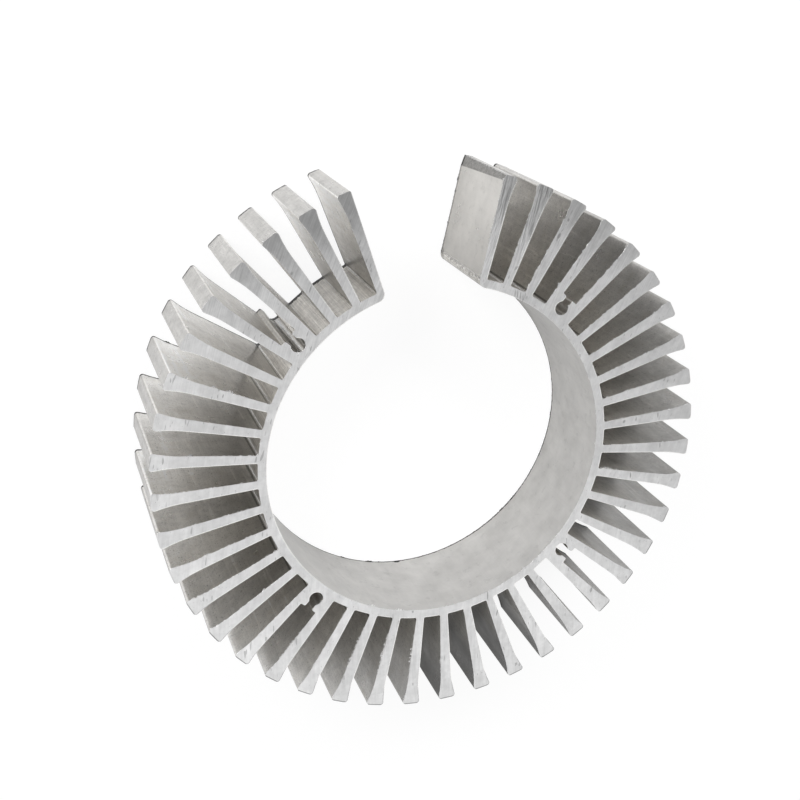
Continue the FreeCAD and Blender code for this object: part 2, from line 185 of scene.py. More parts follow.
# Lamps: name, place and side in metres, and power in watts
LAMPS = (
    ("top_lamp", (0.2, -0.8, 1.0), 1.1, 2.4),
    ("left_lamp", (-0.34, 0.34, 0.30), 0.26, 2.3),
    ("right_lamp", (0.28, 0.38, 0.30), 0.26, 1.6),
)
SENSOR_WIDTH = 36
NEAREST_SEEN = 0.01


class NodeWriter:
    """Short calls that add nodes to a material's or world's tree and link them."""

    def __init__(self, owner):
        owner.use_nodes = True
        self.tree = owner.node_tree
        self.tree.nodes.clear()

    def add(self, kind, inputs=None, **settings):
        """A node with its settings and inputs; an input is a value or another node's output."""
        node = self.tree.nodes.new(kind)
        for name, value in settings.items():
            setattr(node, name, value)
        for name, value in (inputs or {}).items():
            self.feed(node.inputs[name], value)
        return node

    def feed(self, socket, value):
        """Link an output to a socket, or set the socket's own value."""
        if isinstance(value, bpy.types.NodeSocket):
            self.tree.links.new(value, socket)
        else:
            socket.default_value = value

    def math(self, operation, *values):
        """Result of a Math node."""
        node = self.add("ShaderNodeMath", operation=operation)
        for socket, value in zip(node.inputs, values):
            self.feed(socket, value)
        return node.outputs[0]

    def product(self, first, *others):
        """All the values multiplied."""
        for other in others:
            first = self.math("MULTIPLY", first, other)
        return first

    def inverse(self, value):
        """One minus a value."""
        return self.math("SUBTRACT", 1.0, value)

    def length(self, vector):
        """Length of a vector."""
        node = self.add("ShaderNodeVectorMath", {0: vector}, operation="LENGTH")
        return node.outputs["Value"]

    def dot(self, vector, other):
        """Dot product of two vectors."""
        node = self.add("ShaderNodeVectorMath", {0: vector, 1: other}, operation="DOT_PRODUCT")
        return node.outputs["Value"]

    def step(self, value, low, high):
        """0 below low, 1 above high, smooth between; falls instead where low is above high."""
        rising = low < high
        node = self.add(
            "ShaderNodeMapRange",
            {
                "Value": value,
                "From Min": min(low, high),
                "From Max": max(low, high),
                "To Min": 0.0 if rising else 1.0,
                "To Max": 1.0 if rising else 0.0,
            },
            interpolation_type="SMOOTHSTEP",
        )
        return node.outputs[0]

    def spread(self, value, low, high, to_low, to_high):
        """A value moved from one range to another, and held inside it."""
        ranges = {"From Min": low, "From Max": high, "To Min": to_low, "To Max": to_high}
        return self.add("ShaderNodeMapRange", {"Value": value, **ranges}).outputs[0]

    def blend(self, factor, first, second):
        """Two values mixed."""
        return self.add("ShaderNodeMix", {"Factor": factor, "A": first, "B": second}).outputs[0]

    def mix(self, factor, first, second, blend="MIX"):
        """Two colours mixed; a Mix node's colour sockets come after those of values and vectors."""
        node = self.add("ShaderNodeMix", data_type="RGBA", blend_type=blend)
        self.feed(node.inputs["Factor"], factor)
        self.feed(node.inputs[6], first)
        self.feed(node.inputs[7], second)
        return node.outputs[2]

    def mix_vectors(self, factor, first, second):
        """Two vectors mixed; a Mix node's vector sockets come after those of values."""
        node = self.add("ShaderNodeMix", data_type="VECTOR")
        self.feed(node.inputs["Factor"], factor)
        self.feed(node.inputs[4], first)
        self.feed(node.inputs[5], second)
        return node.outputs[1]

    def shade(self, colour, level):
        """A colour multiplied by one level."""
        parts = {"Red": level, "Green": level, "Blue": level}
        grey_level = self.add("ShaderNodeCombineColor", parts).outputs[0]
        return self.mix(1.0, colour, grey_level, "MULTIPLY")

    def vary(self, colour, value, *ranges):
        """A colour shaded by a value moved from one range to another."""
        return self.shade(colour, self.spread(value, *ranges))

    def vary_on(self, colour, mask, value, *ranges):
        """The same, only where a mask is 1."""
        return self.shade(colour, self.blend(mask, 1.0, self.spread(value, *ranges)))

    def tone(self, colour, mask, level):
        """A colour shaded to a level where a mask is 1."""
        return self.vary(colour, mask, 0.0, 1.0, 1.0, level)

    def scaled(self, vector, scale):
        """A vector scaled."""
        return self.add("ShaderNodeMapping", {"Vector": vector, "Scale": scale}).outputs[0]

    def local(self, vector, centre, turn, size):
        """A vector as seen from a centre, turned about Z and divided by a size."""
        return self.add(
            "ShaderNodeMapping",
            {"Vector": vector, "Location": centre, "Rotation": (0, 0, turn), "Scale": size},
            vector_type="TEXTURE",
        ).outputs[0]

    def noise(self, vector, scale, detail=2.0, roughness=0.5):
        """Noise value, about 0.5 on average."""
        return self.add(
            "ShaderNodeTexNoise",
            {"Vector": vector, "Scale": scale, "Detail": detail, "Roughness": roughness},
        ).outputs[0]

    def chance(self, number):
        """A random level from 0 to 1 that stays the same for one number."""
        node = self.add("ShaderNodeTexWhiteNoise", {"W": number}, noise_dimensions="1D")
        return node.outputs["Value"]

    def bump(self, strength, distance, height, **normal):
        """A normal roughened by a height; another normal can be given to start from."""
        inputs = {"Strength": strength, "Distance": distance, "Height": height, **normal}
        return self.add("ShaderNodeBump", inputs).outputs[0]

    def metal(self, colour, roughness, normal):
        """The material's surface as bare metal."""
        shader = self.add(
            "ShaderNodeBsdfPrincipled",
            {"Base Color": colour, "Metallic": 1.0, "Roughness": roughness, "Normal": normal},
        )
        self.add("ShaderNodeOutputMaterial", {"Surface": shader.outputs[0]})


def grey(level, warmth=0.0):
    """A nearly neutral colour; warmth above 0 is brownish and below 0 bluish."""
    return (level * (1 + 0.6 * warmth), level, level * (1 - warmth), 1.0)


def colour_property(name, description, default):
    """A colour that a user can change."""
    return FloatVectorProperty(
        name=name, description=description, default=default, subtype="COLOR", size=4, min=0, max=1
    )


class HeatSinkFinishSettings(bpy.types.PropertyGroup):
    """Colours of the extrusion, and how its saw marks run."""

    cut_colour: colour_property("Cut face", "Freshly sawn aluminium", grey(0.75))
    wall_colour: colour_property("Fin side", "Extruded fin side near its tip", grey(0.76, 0.03))
    deep_colour: colour_property("Slot bottom", "Dull metal deep in a slot", grey(0.8, 0.05))
    smudge_colour: colour_property("Smudge", "Oxide and oil on the fin sides", grey(0.44, 0.09))
    bore_colour: colour_property("Bore", "Extruded bore surface", grey(0.66, 0.02))
    floor_colour: colour_property("Slot floor", "Outside of the wall in a slot", grey(0.86, 0.05))
    tip_colour: colour_property("Tip", "Outer face of a fin", grey(0.57, 0.03))
    end_colour: colour_property("End face", "Flat face of an end fin", grey(0.61, 0.04))
    scratch_colour: colour_property("Scratch", "Dark line that a saw tooth tore", grey(0.30))
    saw_centre: FloatVectorProperty(
        name="Saw centre",
        description="Where the saw's axis stood; its marks are arcs round it",
        default=(0.22, -0.06),
        size=2,
        subtype="XYZ",
        unit="LENGTH",
    )
    bump_depth: FloatProperty(
        name="Bump depth",
        description="Depth of the finest streaks and saw marks",
        default=0.014 * MM,
        unit="LENGTH",
    )
    # Within this radius the edges are worn and get painted highlights and shade
    edge_radius: FloatProperty(
        name="Edge radius",
        description="How far an edge is worn bright",
        default=0.3 * MM,
        unit="LENGTH",
    )


class HeatSinkBurrSettings(bpy.types.PropertyGroup):
    """Torn metal that the saw leaves along the edges where its teeth come out."""

    exit_angle: FloatProperty(
        name="Exit direction",
        description="Direction in which the saw's teeth leave the metal",
        default=math.radians(135),
        subtype="ANGLE",
    )
    reach: FloatProperty(
        name="Reach",
        description="How far a large burr stands out over a slot",
        default=0.55 * MM,
        unit="LENGTH",
    )
    tooth_length: FloatProperty(
        name="Tooth length",
        description="Length of the short pieces that a burr is made of",
        default=0.13 * MM,
        unit="LENGTH",
    )
    thickness: FloatProperty(
        name="Thickness", description="Thickness of a burr", default=0.06 * MM, unit="LENGTH"
    )


class HeatSinkStudioSettings(bpy.types.PropertyGroup):
    """Floor, lamps and camera."""

    floor_size: FloatProperty(
        name="Floor size", description="Side of the square floor", default=6.0, unit="LENGTH"
    )
    lens: FloatProperty(
        name="Lens", description="Focal length on a 36 mm sensor", default=58.5, unit="CAMERA"
    )
    camera_place: FloatVectorProperty(
        name="Camera place",
        description="Where the camera stands",
        default=(-0.08744, 0.12116, 0.28491),
        subtype="TRANSLATION",
    )
    camera_turn: FloatVectorProperty(
        name="Camera turn",
        description="How the camera is turned",
        default=tuple(math.radians(angle) for angle in (-19.124, -19.273, -1.935)),
        subtype="EULER",
    )
    camera_shift: FloatVectorProperty(
        name="Camera shift",
        description="Shift of the view in frame widths",
        default=(-0.0433, -0.0504),
        size=2,
    )
    world_strength: FloatProperty(
        name="World strength", description="Strength of the even light all round", default=0.42
    )


class PartPlaces:
    """Sockets that tell where on the part a shaded point lies, for masks and patterns."""

    def __init__(self, write):
        self.write = write
        coordinates = write.add("ShaderNodeTexCoord")
        self.place = coordinates.outputs["Object"]
        self.x, self.y, self.z = write.add("ShaderNodeSeparateXYZ", {"Vector": self.place}).outputs
        facing = write.add("ShaderNodeSeparateXYZ", {"Vector": coordinates.outputs["Normal"]})
        self.flat = write.add("ShaderNodeCombineXYZ", {"X": self.x, "Y": self.y}).outputs[0]
        self.radius = write.length(self.flat)
        # Angle from the middle of the open side, clockwise as seen from above
        self.angle = write.math("ARCTAN2", self.x, self.y)
        pitches = write.math("DIVIDE", self.angle, PITCH)
        self.fin_number = write.math("ROUND", pitches)
        self.slot_number = write.math("FLOOR", pitches)
        # How far the point lies along the rolled way and the way of the painted light
        self.across = write.dot(self.flat, ROLLED_WAY)
        self.painted_light_place = write.dot(self.flat, PAINTED_LIGHT_WAY)

        self.cut = write.step(write.math("ABSOLUTE", facing.outputs["Z"]), 0.5, 0.8)
        self.upper_half = write.step(self.z, 20 * MM, 21 * MM)
        self.bore = write.step(self.radius, BORE_RADIUS + 0.5 * MM, BORE_RADIUS + 0.2 * MM)
        self.tip = write.step(self.radius, OUTSIDE_RADIUS - 0.35 * MM, OUTSIDE_RADIUS - 0.15 * MM)
        self.fin_end = write.step(self.radius, OUTSIDE_RADIUS - 12 * MM, OUTSIDE_RADIUS - 2 * MM)
        self.depth = write.step(self.radius, OUTSIDE_RADIUS - 3 * MM, FLOOR_RADIUS + 2 * MM)
        self.slot_floor = write.product(
            write.step(self.radius, FLOOR_RADIUS + 0.3 * MM, FLOOR_RADIUS + 0.1 * MM),
            write.inverse(self.bore),
        )
        # Line on the rounded root of a fin side that is painted with a highlight
        self.root_corner_highlight = self.ring(0.04, 0.12, 0.3, 0.46)
        # Shaded line on a fin side along its rounded root
        self.corner_shade = write.product(self.ring(0.42, 0.52, 0.8, 1.0), write.inverse(self.cut))
        # The saw ran rougher towards the open side, and roughest on the fins to the right of it
        self.upper_side = write.step(self.y, 15 * MM, 60 * MM)
        self.rough_fins = write.product(
            write.step(self.radius, OUTSIDE_RADIUS - 22 * MM, OUTSIDE_RADIUS - 8 * MM),
            write.step(self.angle, 0.0, 0.1),
            write.step(self.angle, 3.6 * PITCH, 3.3 * PITCH),
        )
        self.find_end_faces()

    def find_end_faces(self):
        """Masks for the faces at the open side, their corners and the dressed corner."""
        write = self.write
        from_middle = write.math("ABSOLUTE", self.angle)
        self.open_side = write.step(from_middle, END_FIN_ANGLE, END_FIN_ANGLE - 0.003)
        beyond_wall = write.step(self.radius, BORE_RADIUS + 1.6 * MM, BORE_RADIUS + 1.9 * MM)
        self.end_face = write.product(self.open_side, beyond_wall)
        self.bore_corner = write.product(self.open_side, write.inverse(beyond_wall))
        # Rough line where the rounded bore corner meets an end fin's flat face
        from_line = write.math("SUBTRACT", self.radius, BORE_RADIUS + BORE_CORNER)
        from_line = write.math("ABSOLUTE", from_line)
        self.corner_line = write.product(
            self.open_side, write.step(from_line, 0.5 * MM, 0.1 * MM)
        )
        height = write.spread(self.z, 0.0, CUT_LENGTH, DRESSED_LOWER, DRESSED_UPPER)
        inner = write.math("SUBTRACT", OUTSIDE_RADIUS, height)
        above = write.math("SUBTRACT", self.radius, inner)
        self.dressed = write.product(
            self.open_side,
            write.step(self.x, 0.0, 1 * MM),
            write.step(above, -0.05 * MM, 0.1 * MM),
        )

    def ring(self, start, full, falling, end):
        """1 in a ring round the slot floors, given by its distances in mm from them."""
        return self.write.product(
            self.write.step(self.radius, FLOOR_RADIUS + start * MM, FLOOR_RADIUS + full * MM),
            self.write.step(self.radius, FLOOR_RADIUS + end * MM, FLOOR_RADIUS + falling * MM),
        )

    def mark(self, x, y, length, width, angle):
        """1 at the middle of an oval mark and 0 outside it; its place and size are in mm."""
        size = (length / 2 * MM, width / 2 * MM, 1)
        inside = self.write.local(self.flat, (x * MM, y * MM, 0), math.radians(angle), size)
        return self.write.step(self.write.length(inside), 1.15, 0.55)


class Patterns:
    """Noise that several looks of the extrusion share."""

    def __init__(self, write, part, saw_centre):
        self.patches = write.noise(part.place, 170, 3.0, 0.55)
        self.grain = write.noise(part.place, 3500, 2.0, 0.6)
        self.mottle = write.noise(part.place, 1400, 4.0, 0.7)
        # Streaks that the die leaves along the extrusion
        fine_way, wide_way = (1.0, 1.0, 0.03), (1.0, 1.0, 0.06)
        self.fine_streaks = write.noise(write.scaled(part.place, fine_way), 4200, 3.0, 0.6)
        self.wide_streaks = write.noise(write.scaled(part.place, wide_way), 700, 3.0, 0.55)
        # Arcs that the saw leaves round its axis
        away_x = write.math("SUBTRACT", part.x, saw_centre[0])
        away_y = write.math("SUBTRACT", part.y, saw_centre[1])
        away = write.add("ShaderNodeCombineXYZ", {"X": away_x, "Y": away_y}).outputs[0]
        along = write.math("MULTIPLY", write.math("ARCTAN2", away_y, away_x), 0.25)
        arcs = write.add(
            "ShaderNodeCombineXYZ", {"X": write.length(away), "Y": along, "Z": part.z}
        ).outputs[0]
        self.saw = write.noise(write.scaled(arcs, (1.0, 0.04, 0.2)), 3600, 3.0, 0.65)
        self.wide_saw = write.noise(write.scaled(arcs, (1.0, 0.12, 0.2)), 650, 2.0, 0.5)
        # Dark scratches along the arcs, in clusters
        torn = write.noise(write.scaled(arcs, (1.0, 0.24, 0.2)), 1500, 1.0, 0.5)
        clusters = write.step(write.noise(part.place, 110, 1.0, 0.5), 0.42, 0.6)
        self.scratches = write.product(write.step(torn, 0.68, 0.72), clusters)


class Edges:
    """Sockets for edges that are worn or that the saw rolled over, with painted highlights and
    shade on them.
    """

    def __init__(self, write, part, pattern, radius):
        self.rounded = write.add("ShaderNodeBevel", {"Radius": radius}, samples=4).outputs[0]
        self.flat = write.add("ShaderNodeNewGeometry").outputs["Normal"]
        # Rubbed bright and painted with a highlight, in broken lines
        self.wear_and_highlight = write.product(
            write.step(write.dot(self.rounded, self.flat), 0.985, 0.85),
            write.step(pattern.mottle, 0.38, 0.55),
        )
        self.rolled = write.product(
            write.step(write.dot(self.rounded, ROLLED_WAY), 0.04, 0.16),
            part.cut,
            part.upper_half,
            write.step(pattern.mottle, 0.28, 0.4),
        )
        # On the fin ends of the lower side the rolled edge and the tip's edge get painted shade;
        # elsewhere the rolled edge gets a painted highlight
        lower_side = write.step(part.y, -10 * MM, -35 * MM)
        outer = write.step(part.radius, OUTSIDE_RADIUS - 5 * MM, OUTSIDE_RADIUS - 3 * MM)
        outer = write.product(outer, lower_side)
        rim = write.step(part.radius, OUTSIDE_RADIUS - 0.3 * MM, OUTSIDE_RADIUS - 0.16 * MM)
        rim = write.product(rim, part.cut, lower_side)
        self.rim_shade = write.math("MAXIMUM", rim, write.product(self.rolled, outer))
        self.roll_highlight = write.product(self.rolled, write.inverse(outer))


def fin_side_colour(write, part, pattern, settings):
    """Slot walls and floors, with smudges, painted light and shade by place, and painted shade and
    highlight along the roots.
    """
    colour = write.mix(part.depth, tuple(settings.wall_colour), tuple(settings.deep_colour))
    smudge = write.step(write.noise(part.place, 260, 5.0, 0.7), 0.5, 0.7)
    colour = write.mix(write.product(smudge, 0.5), colour, tuple(settings.smudge_colour))
    colour = write.vary(colour, pattern.grain, 0.3, 0.7, 0.87, 1.09)
    colour = write.vary(colour, write.chance(part.slot_number), 0.0, 1.0, 0.92, 1.06)
    colour = write.mix(part.slot_floor, colour, tuple(settings.floor_colour))
    # Painted light towards the tips on the upper left and deep in the slots on the lower right
    # Painted shade at the tips on the lower right and deep in the slots on the upper left
    colour = write.shade(colour, write.blend(
        part.depth,
        write.spread(part.painted_light_place, -FULL_CHANGE, FULL_CHANGE, 1.3, 0.64),
        write.spread(part.across, -FULL_CHANGE, FULL_CHANGE, 0.88, 1.25),
    ))
    below_tip = write.step(part.radius, OUTSIDE_RADIUS - 0.9 * MM, OUTSIDE_RADIUS - 1.7 * MM)
    in_slot = write.spread(part.depth, 0.1, 0.9, 0.0, 1.0)
    # Painted shade and light on the fin sides by place, and painted shade along the roots
    for mask, level in (
        (part.mark(*LOWER_TIPS_PAINTED_SHADE), 0.34),
        (part.mark(*LEFT_END_PAINTED_LIGHT), 1.3),
        (write.product(part.mark(*RIGHT_END_PAINTED_LIGHT), below_tip), 1.16),
        (write.product(part.mark(*UPPER_RIGHT_PAINTED_SHADE), in_slot), 0.96),
        (part.corner_shade, 0.5),
    ):
        colour = write.tone(colour, mask, level)
    # Painted highlight along the rounded roots
    return write.mix(part.root_corner_highlight, colour, grey(1.0))


def extruded_colour(write, part, pattern, settings):
    """All that the die shaped, with its streaks, stains, pits and rough corners."""
    colour = fin_side_colour(write, part, pattern, settings)
    colour = write.mix(part.tip, colour, tuple(settings.tip_colour))
    colour = write.mix(part.bore, colour, tuple(settings.bore_colour))
    colour = write.mix(part.end_face, colour, tuple(settings.end_colour))
    smooth = write.math("MAXIMUM", part.bore, part.end_face)
    rough = write.inverse(smooth)
    # Each pattern's range, and its levels, on rough and on smooth faces
    clouds = write.noise(part.place, 520, 5.0, 0.65)
    for value, on_rough, on_smooth in (
        (pattern.fine_streaks, (0.3, 0.7, 0.94, 1.05), (0.3, 0.7, 0.985, 1.015)),
        (pattern.wide_streaks, (0.3, 0.7, 0.93, 1.06), (0.3, 0.7, 0.98, 1.015)),
        (clouds, (0.34, 0.66, 0.86, 1.1), (0.3, 0.7, 0.97, 1.02)),
    ):
        colour = write.shade(colour, write.blend(
            smooth, write.spread(value, *on_rough), write.spread(value, *on_smooth)
        ))
    colour = write.vary_on(colour, smooth, pattern.patches, 0.3, 0.7, 0.9, 1.06)
    # Bright lines and pits on rough faces, faint stains on smooth ones
    bright_lines = write.step(pattern.wide_streaks, 0.62, 0.70)
    pits = write.step(write.noise(part.place, 1900, 2.0, 0.7), 0.64, 0.69)
    stains = write.step(write.noise(part.place, 420, 4.0, 0.7), 0.56, 0.68)
    for mask, faces, level in (
        (bright_lines, rough, 1.16), (stains, smooth, 0.9), (pits, rough, 0.55)
    ):
        colour = write.tone(colour, write.product(mask, faces), level)
    die_lines = write.noise(write.scaled(part.place, (1.0, 1.0, 0.02)), 3300, 2.0, 0.7)
    colour = write.vary_on(colour, part.slot_floor, die_lines, 0.36, 0.64, 0.82, 1.12)
    # Rounded bore corner, dressed tip corner of an end fin, rough and painted darker as shade, and
    # the torn line beside the first
    for mask, ranges in (
        (part.bore_corner, (0.38, 0.62, 0.66, 1.05)),
        (part.dressed, (0.35, 0.65, 0.3, 0.55)),
        (part.corner_line, (0.4, 0.6, 0.6, 1.5)),
    ):
        colour = write.vary_on(colour, mask, pattern.mottle, *ranges)
    return colour


def cut_colour(write, part, pattern, settings):
    """Sawn faces, with arcs round the saw's axis, deep streaks, single marks and specks."""
    light_marks = write.spread(pattern.saw, 0.3, 0.7, 0.97, 1.03)
    heavy_marks = write.spread(pattern.saw, 0.3, 0.65, 0.8, 1.05)
    colour = write.shade(
        tuple(settings.cut_colour), write.blend(part.upper_side, light_marks, heavy_marks)
    )
    colour = write.vary(colour, pattern.wide_saw, 0.3, 0.7, 0.93, 1.05)
    deep_streaks = write.noise(
        write.local(part.flat, (0, 0, 0), ROUGH_DIRECTION, (22.0, 1.0, 1.0)), 2300, 2.0, 0.7
    )
    colour = write.vary_on(colour, part.rough_fins, deep_streaks, 0.36, 0.62, 0.52, 1.12)
    # Painted shade on the fin ends by the open side and the fins by the left end fin; painted light
    # on the left tips
    upper_ends = write.product(part.fin_end, write.step(part.y, 30 * MM, 54 * MM))
    left_fins = write.product(
        write.step(part.radius, OUTSIDE_RADIUS - 24 * MM, OUTSIDE_RADIUS - 6 * MM),
        write.step(part.y, 38 * MM, 56 * MM),
        write.step(part.x, 0.0, -6 * MM),
    )
    left_tips = write.product(part.fin_end, write.step(part.x, -25 * MM, -45 * MM))
    for mask, level in ((upper_ends, 0.78), (left_fins, 0.8), (left_tips, 1.1)):
        colour = write.tone(colour, mask, level)
    frost = write.noise(part.place, 620, 3.0, 0.6)
    colour = write.vary(colour, frost, 0.35, 0.65, 0.95, 1.05)
    colour = write.vary(colour, pattern.patches, 0.3, 0.7, 0.95, 1.05)
    colour = write.vary(colour, write.chance(part.fin_number), 0.0, 1.0, 0.96, 1.03)
    specks = write.step(write.noise(part.place, 1900, 2.0, 0.6), 0.70, 0.76)
    marks = 0.0
    for place in MARKS:
        marks = write.math("MAXIMUM", marks, part.mark(*place))
    marks = write.product(marks, write.step(pattern.saw, 0.3, 0.5), part.upper_half)
    for mask, strength in ((pattern.scratches, 0.5), (specks, 0.6), (marks, 0.8)):
        colour = write.mix(write.product(mask, strength), colour, tuple(settings.scratch_colour))
    return colour


def lower_dirt_and_shade(write, part, pattern):
    """1 where dirt, dark burrs and painted shade lie along the lower cut edge."""
    height = write.blend(
        part.bore,
        write.spread(pattern.mottle, 0.3, 0.7, 0.45 * MM, 1.1 * MM),
        write.spread(pattern.mottle, 0.3, 0.7, 0.2 * MM, 0.55 * MM),
    )
    height = write.math("ADD", height, write.product(part.mark(*LOWER_NICK), 0.6 * MM))
    # It stands higher in the corners of the slots, where it is painted shade as well as dirt
    crevice_dirt_and_shade = write.product(
        write.step(part.radius, FLOOR_RADIUS + 1.2 * MM, FLOOR_RADIUS + 0.5 * MM),
        write.inverse(part.bore),
        write.spread(pattern.mottle, 0.35, 0.6, 0.6, 1.0),
    )
    height = write.math("ADD", height, write.product(crevice_dirt_and_shade, 0.95 * MM))
    dirt_and_shade = write.step(write.math("SUBTRACT", part.z, height), 0.08 * MM, -0.12 * MM)
    return write.product(dirt_and_shade, write.inverse(part.cut))


def finish_colour(write, part, pattern, edges, settings):
    """Colour of the whole extrusion, with painted highlights and shade on its edges, and dirt and
    painted shade along the lower ones.
    """
    extruded = extruded_colour(write, part, pattern, settings)
    colour = write.mix(part.cut, extruded, cut_colour(write, part, pattern, settings))
    # Worn edges, painted with a highlight
    wear_and_highlight = write.product(edges.wear_and_highlight, write.blend(part.cut, 0.8, 0.35))
    colour = write.mix(wear_and_highlight, colour, grey(0.95))
    # Painted highlight on the rolled edges, painted shade on the rims of the lower fin ends
    colour = write.mix(edges.roll_highlight, colour, grey(1.0, 0.03))
    colour = write.tone(colour, edges.rim_shade, 0.42)
    # The dirt and painted shade along the lower edge are fainter on the end faces, apart from the
    # dressed corner
    lighter_lower_edge = write.product(part.open_side, write.inverse(part.dressed))
    dirt_and_shade_level = write.blend(lighter_lower_edge, 0.07, 0.6)
    return write.shade(colour, write.blend(lower_dirt_and_shade(write, part, pattern), 1.0, dirt_and_shade_level))


def finish_roughness(write, part, pattern, edges):
    """Roughness of the whole extrusion."""
    roughness = write.spread(pattern.patches, 0.3, 0.7, 0.26, 0.36)
    # Deep in the slots at the lower right the metal is dull and scatters more light
    dull_depth = write.product(part.depth, write.step(part.across, -30 * MM, 30 * MM))
    for mask, level in (
        (dull_depth, 0.42),
        (part.slot_floor, 0.32),
        (part.root_corner_highlight, 0.2),
        (part.cut, write.spread(pattern.saw, 0.3, 0.7, 0.44, 0.32)),
        (edges.roll_highlight, 0.12),
    ):
        roughness = write.blend(mask, roughness, level)
    return roughness


def finish_normal(write, part, pattern, edges, depth):
    """Normal that is softened at the edges and roughened by streaks and saw marks."""
    wall_height = write.math(
        "ADD", write.product(pattern.fine_streaks, 0.7), write.product(pattern.grain, 0.3)
    )
    saw_height = write.product(pattern.saw, write.spread(part.upper_side, 0.0, 1.0, 0.45, 1.0))
    saw_height = write.math("SUBTRACT", saw_height, pattern.scratches)
    softness = write.product(write.blend(part.cut, 0.7, 0.15), write.inverse(edges.rolled))
    softened = write.mix_vectors(softness, edges.flat, edges.rounded)
    return write.bump(0.6, depth, write.blend(part.cut, wall_height, saw_height), Normal=softened)


def finish_material(settings):
    """Mill-finish aluminium that tells sawn faces, bore, tips and slot walls apart by place."""
    material = bpy.data.materials.new("sawn_aluminium_extrusion")
    write = NodeWriter(material)
    part = PartPlaces(write)
    pattern = Patterns(write, part, settings.saw_centre)
    edges = Edges(write, part, pattern, settings.edge_radius)
    write.metal(
        finish_colour(write, part, pattern, edges, settings),
        finish_roughness(write, part, pattern, edges),
        finish_normal(write, part, pattern, edges, settings.bump_depth),
    )
    return material


def burr_material():
    """Freshly torn aluminium, mottled dark and bright, with painted glints."""
    material = bpy.data.materials.new("torn_aluminium_burr")
    write = NodeWriter(material)
    place = write.add("ShaderNodeTexCoord").outputs["Object"]
    mottle = write.noise(place, 2600, 3.0, 0.6)
    colour = write.mix(write.step(mottle, 0.3, 0.42), grey(0.3, 0.03), grey(0.85))
    # Painted glints, on spots where the metal is also smoother
    glint_spots = write.step(write.noise(place, 1300, 2.0, 0.6), 0.56, 0.6)
    painted_glint = write.add("ShaderNodeAttribute", attribute_name="painted_glint").outputs["Fac"]
    glint_spots = write.math("MAXIMUM", glint_spots, write.step(painted_glint, 0.5, 0.8))
    colour = write.mix(glint_spots, colour, grey(1.0))
    # Burrs of the lower cut are painted darker as dirt and shade, less so by the end faces
    x, y, height = write.add("ShaderNodeSeparateXYZ", {"Vector": place}).outputs
    from_middle = write.math("ABSOLUTE", write.math("ARCTAN2", x, y))
    dirt_and_shade = write.blend(write.step(from_middle, END_FIN_ANGLE, END_FIN_ANGLE - 0.01), 1.0, 0.5)
    dirt_and_shade = write.product(dirt_and_shade, write.step(height, 1 * MM, 0.5 * MM))
    colour = write.mix(dirt_and_shade, colour, grey(0.08, 0.02))
    write.metal(colour, write.blend(glint_spots, 0.42, 0.14), write.bump(0.5, 0.02 * MM, mottle))
    return material


def cut_outline(level):
    """Edges round the cut face at one height, each vertex keeping its outward direction."""
    shape = bmesh.new()
    shape.from_mesh(frame["nodes"][NODE].data)
    bmesh.ops.remove_doubles(shape, verts=shape.verts, dist=0.002 * MM)
    outward = shape.verts.layers.float_vector.new("outward")
    outline = set()
    for edge in shape.edges:
        if any(abs(vertex.co.z - level) > 0.01 * MM for vertex in edge.verts):
            continue
        walls = [face for face in edge.link_faces if abs(face.normal.z) < 0.5]
        if len(walls) != 1 or len(edge.link_faces) != 2:
            continue
        outline.add(edge)
        for vertex in edge.verts:
            vertex[outward] = vertex[outward] + walls[0].normal * edge.calc_length()
    bmesh.ops.delete(shape, geom=list(shape.faces), context="FACES_ONLY")
    bmesh.ops.delete(
        shape, geom=[edge for edge in shape.edges if edge not in outline], context="EDGES"
    )
    bmesh.ops.delete(
        shape, geom=[vertex for vertex in shape.verts if not vertex.link_edges], context="VERTS"
    )
    return shape, outward


def divide_outline(shape, tooth_length):
    """Long edges cut into pieces of about one length."""
    by_count = {}
    for edge in shape.edges:
        cuts = int(edge.calc_length() / tooth_length)
        if cuts:
            by_count.setdefault(cuts, []).append(edge)
    for cuts, edges in by_count.items():
        bmesh.ops.subdivide_edges(shape, edges=edges, cuts=cuts)


def extra_torn(spot):
    """How much more than usual an edge is torn at a spot in mm."""
    extra = 0.0
    for x, y, spread, more in TORN_PLACES:
        distance = math.hypot(spot.x - x, spot.y - y)
        extra = max(extra, more * max(0.0, 1.0 - distance / spread))
    return extra


def torn_level(place, exit_way, outward):
    """How torn an edge is at a place, from 0 up, by the way that it faces and the noise there."""
    facing = max(0.0, outward.dot(exit_way))
    # Slot floors and tips tear less than the fins' sides and the bore
    across = abs(outward.dot(Vector((place.x, place.y, 0)).normalized()))
    if math.hypot(place.x, place.y) > BORE_RADIUS + 0.5 * MM:
        facing *= 1.0 - 0.6 * across
    spot = place / MM
    level = max(0.0, 0.25 + 0.6 * noise.noise(spot * 0.4) + 0.5 * noise.noise(spot * 1.3))
    # The saw's teeth leave steps that rise slowly and break off
    round_bore = BORE_RADIUS / MM * math.atan2(spot.y, spot.x)
    along = (math.hypot(spot.x, spot.y) + round_bore) / TOOTH_STEP
    rise = (along + 0.9 * noise.noise(spot * 0.8)) % 1.0
    teeth = 0.12 + 1.5 * rise * max(0.25, 0.7 + noise.noise(spot * 1.7))
    return (facing ** 1.5 * level + min(1.0, 4 * facing) * extra_torn(spot)) * teeth


def torn_edges(shape, outward_layer, exit_way):
    """Drop the edges that aren't torn, and give each vertex's torn level and outward direction."""
    torn = {}
    for vertex in shape.verts:
        outward = vertex[outward_layer].normalized()
        torn[vertex] = (torn_level(vertex.co, exit_way, outward), outward)
    blunt = [vertex for vertex, (amount, _) in torn.items() if amount < LEAST_TORN]
    for vertex in blunt:
        del torn[vertex]
    bmesh.ops.delete(shape, geom=blunt, context="VERTS")
    loose = [vertex for vertex in shape.verts if not vertex.link_edges]
    for vertex in loose:
        del torn[vertex]
    bmesh.ops.delete(shape, geom=loose, context="VERTS")
    return torn


